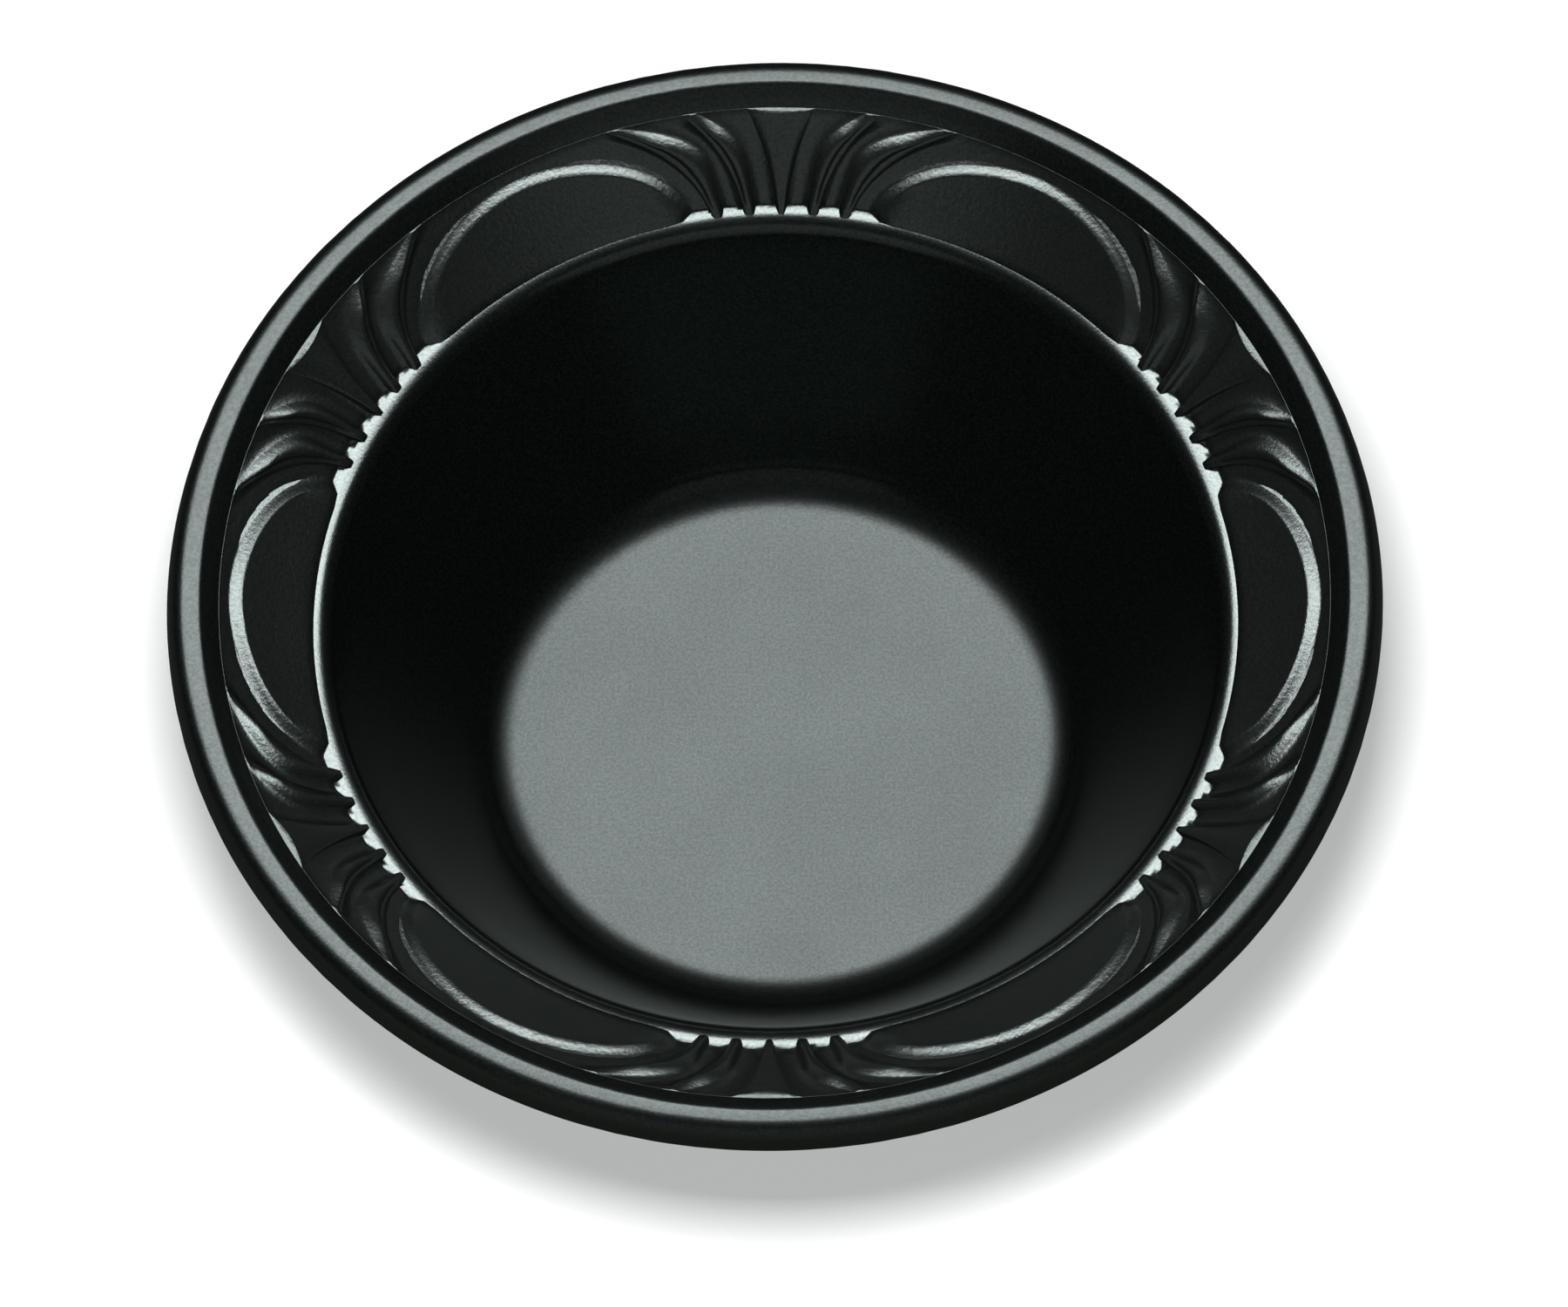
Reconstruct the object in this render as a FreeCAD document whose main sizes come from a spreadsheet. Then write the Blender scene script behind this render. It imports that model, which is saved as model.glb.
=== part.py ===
import FreeCAD, Part
import math
import os

import Sketcher
from FreeCAD import Vector

# A 12 oz food bowl pressed from foam sheet with a film lining bonded to its food side.
# Its sloped rim is embossed with fluted fans and arched panels.
# Two pieces: the foam body and the lining, which meet face to face.
# Origin: centre of the base. +Z is up. Lengths in mm, angles in degrees.

doc = FreeCAD.newDocument("laminated_bowl")

MATCH = 1e-4
ORIGIN = Vector(0, 0, 0)
UP = Vector(0, 0, 1)

# ---------------------------------------------------------------- sizes
DRIVING_SIZES = [
    ("rim_radius", 76.2, "outermost radius, at the cut edge of the lip"),
    ("lip_length", 1.5, "straight part of the turned-down lip"),
    ("lip_angle", 78, "slope of the lip below level"),
    ("lip_thickness", 1.5, "foam and lining together at the lip"),
    ("crown_outer_radius", 2.15, "food-side bend from the crown to the lip"),
    ("crown_land", 1.125, "level top of the crown"),
    ("crown_inner_radius", 1.2, "food-side bend from the crown to the band"),
    ("band_length", 2.725, "plain band inside the crown"),
    ("band_angle", 44, "slope of the plain band"),
    ("step_land", 0.3, "level step between the band and the embossing"),
    ("slope_drop", 7.6, "height of the embossed slope"),
    ("slope_angle", 37.2, "slope of the embossed rim"),
    ("relief_height", 0.85, "height of the embossing, square to its slope"),
    ("ledge_land", 0.25, "level ledge inside the raised embossing"),
    ("shoulder_radius", 2.0, "bend from the ledge into the well"),
    ("wall_angle", 60.5, "slope of the well's wall"),
    ("well_depth", 34.6, "ledge to floor"),
    ("floor_bend_radius", 7.0, "food-side bend from the wall to the floor"),
    ("foam_thickness", 2.0, "foam layer"),
    ("film_thickness", 0.2, "lining, where it isn't embossed"),
    ("foot_width", 6.0, "level ring that the bowl stands on"),
    ("foot_height", 0.5, "height of the recess inside the foot ring"),
    ("under_ledge_bevel", 0.8, "bevel in the outer corner under the ledge"),
    ("under_slope_bevel", 1.4, "bevel on the outer corner under the slope"),
    ("under_crown_drop", 0.5, "height taken off the sharp corner inside the lip"),
    ("fan_count", 6, "fans round the rim"),
    ("wedge_root", 0.3, "half angle of the middle wedge at the ledge"),
    ("wedge_tip", 3.3, "half angle of the middle wedge at the step"),
    ("wedge_side", 0.45, "angle that the wedge's side takes up"),
    ("wedge_fall", 0.37, "share of its height that the wedge loses towards the step"),
    ("first_leaf_root", 4.8, "outer foot of the first leaf at the ledge"),
    ("first_leaf_tip", 10.6, "outer foot of the first leaf at the step"),
    ("first_leaf_swell", 1.6, "angle that the first leaf gains at its widest"),
    ("second_leaf_root", 8.8, "outer foot of the second leaf at the ledge"),
    ("second_leaf_tip", 19.0, "outer foot of the second leaf at the step"),
    ("second_leaf_swell", 3.3, "angle that the second leaf gains at its widest"),
    ("leaf_end_width", 1.65, "angle of a leaf at its two ends"),
    ("leaf_fade", 0.85, "share of its height that a leaf loses at the step"),
    ("leaf_fade_start", 0.8, "climb at which a leaf starts to lose height"),
    ("arch_root", 10.4, "outer foot of the arched panel at the ledge"),
    ("arch_gain", 0.5, "share of its height that the panel gains up the slope"),
    ("arch_roll_angle", 3.0, "angle of the panel's rounded edge at the ledge"),
    ("arch_rise", 0.96, "panel's outer foot up the slope, as a share of it"),
    ("arch_roll_rise", 0.2, "rounded edge at the arch's top, share of the slope"),
]

DERIVED_SIZES = [
    ("sheet_thickness", "foam_thickness + film_thickness"),
    ("ledge_level", "sheet_thickness + well_depth"),
    ("step_level", "ledge_level + slope_drop"),
    ("crown_top_level",
     "step_level + band_length * sin(band_angle) + crown_inner_radius * (1 - cos(band_angle))"),
    ("crown_outer_level", "crown_top_level - crown_outer_radius"),
    ("crown_inner_level", "crown_top_level - crown_inner_radius"),
    ("crown_outer_centre",
     "rim_radius - lip_length * cos(lip_angle) - crown_outer_radius * sin(lip_angle)"),
    ("crown_inner_centre", "crown_outer_centre - crown_land"),
    ("band_foot_radius",
     "crown_inner_centre - crown_inner_radius * sin(band_angle)"
     " - band_length * cos(band_angle)"),
    ("step_radius", "band_foot_radius - step_land"),
    ("slope_run", "slope_drop / tan(slope_angle)"),
    ("flute_radius", "step_radius - slope_run"),
    ("relief_shift", "relief_height / sin(slope_angle)"),
    ("shoulder_centre_radius", "flute_radius - relief_shift - ledge_land"),
    ("shoulder_centre_level", "ledge_level - shoulder_radius"),
    ("bends_together", "shoulder_radius + floor_bend_radius"),
    ("wall_drop", "well_depth - bends_together * (1 - cos(wall_angle))"),
    ("floor_edge_radius",
     "shoulder_centre_radius - bends_together * sin(wall_angle) - wall_drop / tan(wall_angle)"),
    ("floor_bend_level", "sheet_thickness + floor_bend_radius"),
    # outer face, from the recess under the floor to the inside of the lip
    ("recess_radius", "floor_edge_radius - foot_width"),
    ("recess_edge_radius", "recess_radius + foot_height"),
    ("under_ledge_radius",
     "shoulder_centre_radius + (sheet_thickness - shoulder_radius) * tan(wall_angle / 2)"),
    ("under_ledge_level", "ledge_level - sheet_thickness"),
    ("under_slope_radius", "flute_radius + sheet_thickness * tan(slope_angle / 2)"),
    ("lip_edge_level",
     "crown_outer_level + crown_outer_radius * cos(lip_angle) - lip_length * sin(lip_angle)"),
    ("lip_inner_radius", "rim_radius - lip_thickness * sin(lip_angle)"),
    ("lip_inner_level", "lip_edge_level - lip_thickness * cos(lip_angle)"),
    ("under_slope_length",
     "((lip_inner_radius - under_slope_radius) * sin(lip_angle)"
     " + (lip_inner_level - under_ledge_level) * cos(lip_angle)) / sin(lip_angle + slope_angle)"),
    ("under_crown_level",
     "under_ledge_level + under_slope_length * sin(slope_angle) - under_crown_drop"),
    ("under_crown_inner_radius",
     "under_slope_radius + under_slope_length * cos(slope_angle)"
     " - under_crown_drop / tan(slope_angle)"),
    ("under_crown_outer_radius",
     "under_slope_radius + under_slope_length * cos(slope_angle)"
     " + under_crown_drop / tan(lip_angle)"),
    # bonded face between the foam and the lining
    ("lip_bond_radius", "rim_radius - film_thickness * sin(lip_angle)"),
    ("lip_bond_level", "lip_edge_level - film_thickness * cos(lip_angle)"),
    ("band_bond_radius", "band_foot_radius + film_thickness * tan(band_angle / 2)"),
    ("step_bond_radius", "step_radius + film_thickness * tan(slope_angle / 2)"),
    ("step_bond_level", "step_level - film_thickness"),
    ("flute_bond_radius", "flute_radius + film_thickness * tan(slope_angle / 2)"),
    ("ledge_bond_level", "ledge_level - film_thickness"),
]

# Round bends of the section: name, centre, radius, first angle, angle turned through and
# number of flats. A flat stays within a few hundredths of a millimetre of its arc.
CROWN_OUT = ("crown_outer_centre", "crown_outer_level", "90 - lip_angle", "lip_angle")
CROWN_IN = ("crown_inner_centre", "crown_inner_level", "90", "band_angle")
SHOULDER = ("shoulder_centre_radius", "shoulder_centre_level", "90", "wall_angle")
FLOOR_BEND = ("floor_edge_radius", "floor_bend_level", "wall_angle - 90", "-wall_angle")
FOOT_BEND = ("floor_edge_radius", "floor_bend_level", "-90", "wall_angle")
BENDS = [
    ("crown_out_food", CROWN_OUT, "crown_outer_radius", 5),
    ("crown_in_food", CROWN_IN, "crown_inner_radius", 2),
    ("crown_out_bond", CROWN_OUT, "crown_outer_radius - film_thickness", 3),
    ("crown_in_bond", CROWN_IN, "crown_inner_radius - film_thickness", 1),
    ("shoulder_food", SHOULDER, "shoulder_radius", 3),
    ("shoulder_bond", SHOULDER, "shoulder_radius - film_thickness", 2),
    ("floor_food", FLOOR_BEND, "floor_bend_radius", 4),
    ("floor_bond", FLOOR_BEND, "floor_bend_radius + film_thickness", 3),
    ("foot", FOOT_BEND, "floor_bend_radius + sheet_thickness", 4),
]


def bend_cells(name, flats):
    """Pairs of cell names for the corners of a bend made of flats."""
    letters = "abcdefgh"[:int(flats) + 1]
    return [("%s_radius_%s" % (name, mark), "%s_level_%s" % (name, mark)) for mark in letters]


def bend_formulas(name, bend, radius, flats):
    """Cells and formulas of the corners of a bend."""
    centre_radius, centre_level, first, turned = bend
    rows = []
    for step, (radius_cell, level_cell) in enumerate(bend_cells(name, flats)):
        angle = "(%s + (%s) * %d / %d)" % (first, turned, step, flats)
        rows.append((radius_cell, "%s + (%s) * cos%s" % (centre_radius, radius, angle)))
        rows.append((level_cell, "%s + (%s) * sin%s" % (centre_level, radius, angle)))
    return rows


def filled_sheet():
    """Spreadsheet with the driving sizes, then the derived ones, each under its own alias."""
    table = doc.addObject("Spreadsheet::Sheet", "Sizes")
    rows = [(name, str(value), note) for name, value, note in DRIVING_SIZES]
    rows += [(name, "=" + formula, "derived") for name, formula in DERIVED_SIZES]
    for bend in BENDS:
        rows += [(name, "=" + formula, "bend") for name, formula in bend_formulas(*bend)]
    for number, (name, content, note) in enumerate(rows, 1):
        table.set("A%d" % number, name)
        table.set("B%d" % number, content)
        table.set("C%d" % number, note)
        table.setAlias("B%d" % number, name)
    doc.recompute()
    return table


sheet = filled_sheet()


def size(name):
    """Value of one named cell of the sheet, or 0 where there is no cell."""
    return float(sheet.get(name)) if name else 0.0


# ---------------------------------------------------------------- section
# Corners of the section as pairs of cells (radius, level); None is the axis or the base.
CORNERS = {name: bend_cells(name, flats) for name, bend, radius, flats in BENDS}

OUTER_FACE = [
    (None, "foot_height"),
    ("recess_radius", "foot_height"),
    ("recess_edge_radius", None),
    ("floor_edge_radius", None),
] + CORNERS["foot"][1:] + [
    ("under_ledge_radius", "under_ledge_level"),
    ("under_slope_radius", "under_ledge_level"),
    ("under_crown_inner_radius", "under_crown_level"),
    ("under_crown_outer_radius", "under_crown_level"),
    ("lip_inner_radius", "lip_inner_level"),
]

BONDED_FACE = [("lip_bond_radius", "lip_bond_level")] + CORNERS["crown_out_bond"] + (
    CORNERS["crown_in_bond"]) + [
    ("band_bond_radius", "step_bond_level"),
    ("step_bond_radius", "step_bond_level"),
    ("flute_bond_radius", "ledge_bond_level"),
] + CORNERS["shoulder_bond"] + CORNERS["floor_bond"] + [(None, "foam_thickness")]

RIM_FOOD_FACE = [("rim_radius", "lip_edge_level")] + CORNERS["crown_out_food"] + (
    CORNERS["crown_in_food"]) + [("band_foot_radius", "step_level")]

WELL_FOOD_FACE = CORNERS["shoulder_food"] + CORNERS["floor_food"] + [(None, "sheet_thickness")]


# ---------------------------------------------------------------- foam body
def axis_plane(body, role):
    """Origin plane of a body, found by its role."""
    for feature in body.Origin.OriginFeatures:
        if feature.Role == role:
            return feature
    raise RuntimeError("origin plane not found: " + role)


def bind_coordinate(sketch, kind, line, value, cell):
    """Tie one coordinate of a line's start to a cell, or to an axis where there is no cell."""
    if cell is None:
        axis = -2 if kind == "DistanceX" else -1
        sketch.addConstraint(Sketcher.Constraint("PointOnObject", line, 1, axis))
        return
    number = sketch.addConstraint(Sketcher.Constraint(kind, -1, 1, line, 1, value))
    sketch.setExpression("Constraints[%d]" % number, "Sizes." + cell)


def section_sketch(body, name, corners):
    """Closed outline of straight lines through corners, each tied to its two cells."""
    sketch = body.newObject("Sketcher::SketchObject", name)
    sketch.AttachmentSupport = [(axis_plane(body, "XZ_Plane"), "")]
    sketch.MapMode = "FlatFace"
    places = [Vector(size(radius), size(level), 0) for radius, level in corners]
    count = len(corners)
    for index in range(count):
        sketch.addGeometry(Part.LineSegment(places[index], places[(index + 1) % count]), False)
    for index in range(count):
        sketch.addConstraint(Sketcher.Constraint("Coincident", index, 2, (index + 1) % count, 1))
    for index, (radius_cell, level_cell) in enumerate(corners):
        bind_coordinate(sketch, "DistanceX", index, places[index].x, radius_cell)
        bind_coordinate(sketch, "DistanceY", index, places[index].y, level_cell)
    return sketch


def ring_edges(shape, radius_cell, level_cell):
    """Names of the circular edges of a shape at a radius and level given by two cells."""
    names = []
    for number, edge in enumerate(shape.Edges, 1):
        if not isinstance(edge.Curve, Part.Circle):
            continue
        radius_gap = abs(edge.Curve.Radius - size(radius_cell))
        level_gap = abs(edge.Curve.Center.z - size(level_cell))
        if radius_gap < MATCH and level_gap < MATCH:
            names.append("Edge%d" % number)
    return names


def bevel_ring(body, base, name, radius_cell, level_cell, bevel_cell):
    """Bevel on one ring of a body, its size tied to a cell."""
    bevel = body.newObject("PartDesign::Chamfer", name)
    bevel.Base = (base, ring_edges(base.Shape, radius_cell, level_cell))
    bevel.setExpression("Size", "Sizes." + bevel_cell)
    body.Tip = bevel
    doc.recompute()
    return bevel


def make_foam_body():
    """Foam: one section turned round the axis, with the outer corners bevelled."""
    body = doc.addObject("PartDesign::Body", "foam_body")
    body.Label = "foam_body"
    outline = section_sketch(body, "foam_section", OUTER_FACE + BONDED_FACE)
    doc.recompute()
    turned = body.newObject("PartDesign::Revolution", "foam_turned")
    turned.Profile = outline
    turned.ReferenceAxis = (outline, ["V_Axis"])
    turned.Angle = 360
    doc.recompute()
    under_slope = bevel_ring(body, turned, "under_slope_bend", "under_slope_radius",
                             "under_ledge_level", "under_slope_bevel")
    bevel_ring(body, under_slope, "under_ledge_bend", "under_ledge_radius",
               "under_ledge_level", "under_ledge_bevel")
    return body


# ---------------------------------------------------------------- embossed face
# A point of the embossing is given by its angle from the fan's middle line, its climb as
# a share of the slope (0 at the ledge, 1 at the step) and its lift as a share of the
# relief height. Each line of the pattern is a spline, and ruled faces join the lines.
HALF_SECTOR = 180 / size("fan_count")
LINE_POINTS = 7
ARCH_SPLIT = 55
ARCH_TOP = 90
ARCH_SQUARENESS = 1.11
LINE_BOW = 0.4
SWELL_SKEW = 1.8
FOOT_INSIDE = (0, 0)
BROW = (0.36, 1)
TOE = (0.7, 0.38)
FOOT_OUTSIDE = (1, 0)
ARCH_SHOULDER = (0.5, 0.5)


def slope_point(angle, climb, lift):
    """Point of the embossed slope."""
    radius = size("flute_radius") + climb * size("slope_run") - lift * size("relief_shift")
    turn = math.radians(angle)
    level = size("ledge_level") + climb * size("slope_drop")
    return Vector(radius * math.cos(turn), radius * math.sin(turn), level)


def shares():
    """Even shares from 0 to 1, one for each point of a line."""
    return [step / (LINE_POINTS - 1) for step in range(LINE_POINTS)]


def smooth_edge(points):
    """Spline edge through points, with the same knots on every line."""
    curve = Part.BSplineCurve()
    curve.interpolate(Points=points, Parameters=shares())
    return curve.toShape()


def eased(share):
    """Share from 0 to 1 that starts and ends gently."""
    share = min(max(share, 0), 1)
    return share * share * (3 - 2 * share)


def rising_line(angle_at, lift_at):
    """Line from the ledge to the step, its angle and lift functions of the climb."""
    return smooth_edge([slope_point(angle_at(c), c, lift_at(c)) for c in shares()])


def bowed(root, tip, climb):
    """Angle of a line that leaves the ledge steeply and leans over towards the step."""
    return root + (tip - root) * (LINE_BOW * climb + (1 - LINE_BOW) * climb ** 2)


def wedge_edge(climb):
    """Angle of the wedge's edge."""
    return bowed(size("wedge_root"), size("wedge_tip"), climb)


def wedge_lift(climb):
    """Lift of the wedge's middle line, lower towards the step."""
    return 1 - size("wedge_fall") * climb


def wedge_edge_lift(climb):
    """Lift of the wedge's edge, which falls away as the wedge becomes domed."""
    edge = wedge_edge(climb)
    return wedge_lift(climb) * (1 - climb * (edge / (edge + size("wedge_side"))) ** 2)


def leaf_line(leaf, across, lift):
    """Line of a leaf; across is 0 at its inner foot and 1 at its outer foot."""
    start = size("leaf_fade_start")

    def angle_at(climb):
        outer = bowed(size(leaf + "_leaf_root"), size(leaf + "_leaf_tip"), climb)
        swell = size(leaf + "_leaf_swell") * math.sin(math.pi * climb ** SWELL_SKEW)
        return outer - (size("leaf_end_width") + swell) * (1 - across)

    def lift_at(climb):
        return lift * (1 - size("leaf_fade") * eased((climb - start) / (1 - start)))
    return rising_line(angle_at, lift_at)


def fan_lines():
    """Lines of half a fan, from its middle to the second leaf's outer foot."""
    lines = [
        rising_line(lambda climb: 0, wedge_lift),
        rising_line(wedge_edge, wedge_edge_lift),
        rising_line(lambda climb: wedge_edge(climb) + size("wedge_side"), lambda climb: 0),
    ]
    for leaf in ("first", "second"):
        for across, lift in (FOOT_INSIDE, BROW, TOE, FOOT_OUTSIDE):
            lines.append(leaf_line(leaf, across, lift))
    return lines


def arch_place(across, turn):
    """Angle and climb on the arch: across is 0 at its foot and 1 at the end of its roll."""
    reach = HALF_SECTOR - size("arch_root") - across * size("arch_roll_angle")
    rise = size("arch_rise") - across * size("arch_roll_rise")
    sideways = math.cos(math.radians(turn)) ** ARCH_SQUARENESS
    upwards = math.sin(math.radians(turn)) ** ARCH_SQUARENESS
    return HALF_SECTOR - reach * sideways, rise * upwards


def arch_line(across, lift, first, last):
    """Stretch of the arch between two turns, 0 at the ledge and 90 at the arch's top."""
    points = []
    for share in shares():
        angle, climb = arch_place(across, first + (last - first) * share)
        gain = 1 + size("arch_gain") * eased(2 * climb)
        points.append(slope_point(angle, climb, lift * gain))
    return smooth_edge(points)


def panel_foot(first, last):
    """Foot of the panel on the ledge, straight below each point of the arch's crest."""
    points = []
    for share in shares():
        angle = arch_place(1, first + (last - first) * share)[0]
        points.append(slope_point(angle, 0, 1))
    return smooth_edge(points)


def step_line(first, last):
    """Top of the slope on the step, between two angles."""
    return smooth_edge([slope_point(first + (last - first) * share, 1, 0) for share in shares()])


def half_fan_faces():
    """Embossed faces from a fan's middle line to the middle of the next arched panel."""
    lines = fan_lines()
    faces = [Part.makeRuledSurface(one, other) for one, other in zip(lines, lines[1:])]
    lower = (lines[-1], 0, ARCH_SPLIT)
    upper = (step_line(size("second_leaf_tip"), HALF_SECTOR), ARCH_SPLIT, ARCH_TOP)
    for outer_line, first, last in (lower, upper):
        row = [outer_line]
        for across, lift in (FOOT_INSIDE, ARCH_SHOULDER, (1, 1)):
            row.append(arch_line(across, lift, first, last))
        row.append(panel_foot(first, last))
        faces += [Part.makeRuledSurface(one, other) for one, other in zip(row, row[1:])]
    return faces


def all_round(faces):
    """Copies of half a sector's faces, mirrored and turned round the whole rim."""
    half = Part.Compound(faces)
    copies = []
    for index in range(int(size("fan_count"))):
        for piece in (half, half.mirror(ORIGIN, Vector(0, 1, 0))):
            turned = piece.copy()
            turned.rotate(ORIGIN, UP, HALF_SECTOR + index * 2 * HALF_SECTOR)
            copies.extend(turned.Faces)
    return copies


# ---------------------------------------------------------------- lining
def level_outline(faces, level):
    """Closed wire of those edges of the faces that lie wholly at a level."""
    found = []
    for face in faces:
        for edge in face.Edges:
            box = edge.BoundBox
            level_edge = abs(box.ZMin - level) < MATCH and abs(box.ZMax - level) < MATCH
            if level_edge and not edge.Degenerated:
                found.append(edge)
    return Part.Wire(Part.sortEdges(found)[0])


def level_ring(faces, radius, level):
    """Level face between the embossing's toothed outline and a plain circle."""
    toothed = level_outline(faces, level)
    circle = Part.Wire(Part.makeCircle(radius, Vector(0, 0, level)))
    return Part.makeFace([toothed, circle], "Part::FaceMakerBullseye").Faces


def turned_faces(corners):
    """Faces swept by a line through corners, turned once round the axis."""
    places = [Vector(size(radius), 0, size(level)) for radius, level in corners]
    return Part.makePolygon(places).revolve(ORIGIN, UP, 360).Faces


def lining_solid():
    """Lining between its food side, embossed on the slope, and the face bonded to the foam."""
    relief = all_round(half_fan_faces())
    faces = relief + turned_faces(RIM_FOOD_FACE) + turned_faces(WELL_FOOD_FACE)
    faces += level_ring(relief, size("band_foot_radius"), size("step_level"))
    faces += level_ring(relief, size("shoulder_centre_radius"), size("ledge_level"))
    faces += turned_faces([RIM_FOOD_FACE[0], BONDED_FACE[0]])
    faces += turned_faces(BONDED_FACE)
    shell = Part.makeShell(faces)
    shell.sewShape(MATCH)
    solid = Part.makeSolid(shell)
    if solid.Volume < 0:
        solid.reverse()
    return solid


def make_film_lining():
    """Film lining. No sketch feature makes the embossing, so its faces are built here."""
    lining = doc.addObject("Part::Feature", "film_lining")
    lining.Label = "film_lining"
    lining.Shape = lining_solid()
    lining.Placement = FreeCAD.Placement()
    return lining


# ---------------------------------------------------------------- checks and files
def faults(nodes):
    """What failed in the document, as a list of sentences."""
    found = []
    for thing in doc.Objects:
        failed = [state for state in thing.State if state in ("Invalid", "Error")]
        if failed:
            found.append("%s is %s" % (thing.Name, ", ".join(failed)))
    for node in nodes:
        shape = node.Shape
        if shape.isNull() or not shape.isValid():
            found.append("%s has no valid shape" % node.Label)
        elif len(shape.Solids) != 1:
            found.append("%s has %d solids" % (node.Label, len(shape.Solids)))
    return found


nodes = [make_foam_body(), make_film_lining()]
doc.recompute()
problems = faults(nodes)
if problems:
    raise RuntimeError("; ".join(problems))
os.makedirs("parts", exist_ok=True)
for node in nodes:
    node.Shape.exportStep("parts/%s.step" % node.Label)
    box = node.Shape.BoundBox
    print("%s: volume %.1f mm3, %.2f x %.2f x %.2f mm" % (
        node.Label, node.Shape.Volume, box.XLength, box.YLength, box.ZLength))
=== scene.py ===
"""Black laminated foam bowl: its two bonded layers, their finishes, the light and the camera."""
import logging
import math
from dataclasses import dataclass, field, replace
from enum import Enum
from typing import Optional, Sequence

import bpy
import numpy as np
from mathutils import Matrix, Vector


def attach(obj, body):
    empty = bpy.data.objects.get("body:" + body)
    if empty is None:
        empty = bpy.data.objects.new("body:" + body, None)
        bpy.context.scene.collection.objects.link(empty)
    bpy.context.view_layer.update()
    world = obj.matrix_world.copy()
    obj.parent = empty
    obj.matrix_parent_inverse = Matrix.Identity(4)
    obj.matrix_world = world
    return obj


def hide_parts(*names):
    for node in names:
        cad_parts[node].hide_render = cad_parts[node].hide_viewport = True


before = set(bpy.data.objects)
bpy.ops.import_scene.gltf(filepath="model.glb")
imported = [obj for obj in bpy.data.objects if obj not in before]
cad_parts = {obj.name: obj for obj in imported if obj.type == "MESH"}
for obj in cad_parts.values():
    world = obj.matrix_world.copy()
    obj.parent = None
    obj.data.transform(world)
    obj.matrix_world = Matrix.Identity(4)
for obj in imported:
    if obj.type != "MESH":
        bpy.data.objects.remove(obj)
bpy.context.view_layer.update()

logging.basicConfig(level=logging.INFO, format="%(name)s: %(message)s")
LOG = logging.getLogger("bowl")

MM = 0.001
WELD = 0.002 * MM

Colour = tuple[float, float, float, float]
Span = tuple[float, float]


class Slot(Enum):
    """Names of the bowl's two materials."""

    FOAM = "foam"
    FILM = "film"


def rad(degrees: float) -> float:
    """Degrees as radians."""
    return math.radians(degrees)


# ---------------------------------------------------------------- sizes
@dataclass(frozen=True)
class SheetSizes:
    """Sizes of the pressed section, in millimetres and degrees."""

    rim_radius: float = 76.2
    lip_length: float = 1.5
    lip_angle: float = 78.0
    lip_thickness: float = 1.5
    crown_outer_radius: float = 2.4
    crown_land: float = 1.1
    crown_inner_radius: float = 1.2
    band_length: float = 2.75
    band_angle: float = 43.6
    step_land: float = 0.016
    slope_drop: float = 7.6
    slope_angle: float = 37.2
    relief_height: float = 0.85
    foot_reach: float = 0.61
    shoulder_radius: float = 3.5
    wall_angle: float = 60.5
    well_depth: float = 34.6
    floor_bend_radius: float = 7.0
    foam_thickness: float = 2.0
    film_thickness: float = 0.2
    foot_width: float = 6.0
    foot_height: float = 0.5

    @property
    def sheet(self) -> float:
        """Thickness of foam and film together."""
        return self.foam_thickness + self.film_thickness

    @property
    def ledge_level(self) -> float:
        """Level of the ledge above the table."""
        return self.sheet + self.well_depth

    @property
    def step_level(self) -> float:
        """Level of the step above the table."""
        return self.ledge_level + self.slope_drop

    @property
    def top_level(self) -> float:
        """Highest level, on the crown's flat."""
        bend = self.crown_inner_radius * (1 - math.cos(rad(self.band_angle)))
        return self.step_level + self.band_length * math.sin(rad(self.band_angle)) + bend

    @property
    def crown_outer(self) -> float:
        """Radius where the crown turns down into the lip."""
        lip = self.lip_length * math.cos(rad(self.lip_angle))
        return self.rim_radius - lip - self.crown_outer_radius * math.sin(rad(self.lip_angle))

    @property
    def crown_inner(self) -> float:
        """Radius where the crown turns down into the plain band."""
        return self.crown_outer - self.crown_land

    @property
    def band_foot(self) -> float:
        """Radius of the foot of the plain band."""
        bend = self.crown_inner_radius * math.sin(rad(self.band_angle))
        return self.crown_inner - bend - self.band_length * math.cos(rad(self.band_angle))

    @property
    def step_radius(self) -> float:
        """Radius of the top of the embossed slope."""
        return self.band_foot - self.step_land

    @property
    def lip_level(self) -> float:
        """Level of the outer corner of the lip's cut edge."""
        bend = self.crown_outer_radius * (1 - math.cos(rad(self.lip_angle)))
        return self.top_level - bend - self.lip_length * math.sin(rad(self.lip_angle))

    @property
    def slope_run(self) -> float:
        """How far the embossed slope reaches outwards."""
        return self.slope_drop / math.tan(rad(self.slope_angle))

    @property
    def flute_radius(self) -> float:
        """Radius of the slope's foot, in the flutes."""
        return self.step_radius - self.slope_run

    @property
    def relief_shift(self) -> float:
        """How far the full embossing moves the slope inwards."""
        return self.relief_height / math.sin(rad(self.slope_angle))

    @property
    def shoulder_centre(self) -> float:
        """Radius where the ledge turns into the well."""
        return self.flute_radius - self.relief_shift + self.foot_reach

    @property
    def floor_edge(self) -> float:
        """Radius of the flat floor."""
        bends = self.shoulder_radius + self.floor_bend_radius
        drop = self.well_depth - bends * (1 - math.cos(rad(self.wall_angle)))
        run = drop / math.tan(rad(self.wall_angle))
        return self.shoulder_centre - bends * math.sin(rad(self.wall_angle)) - run


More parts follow.
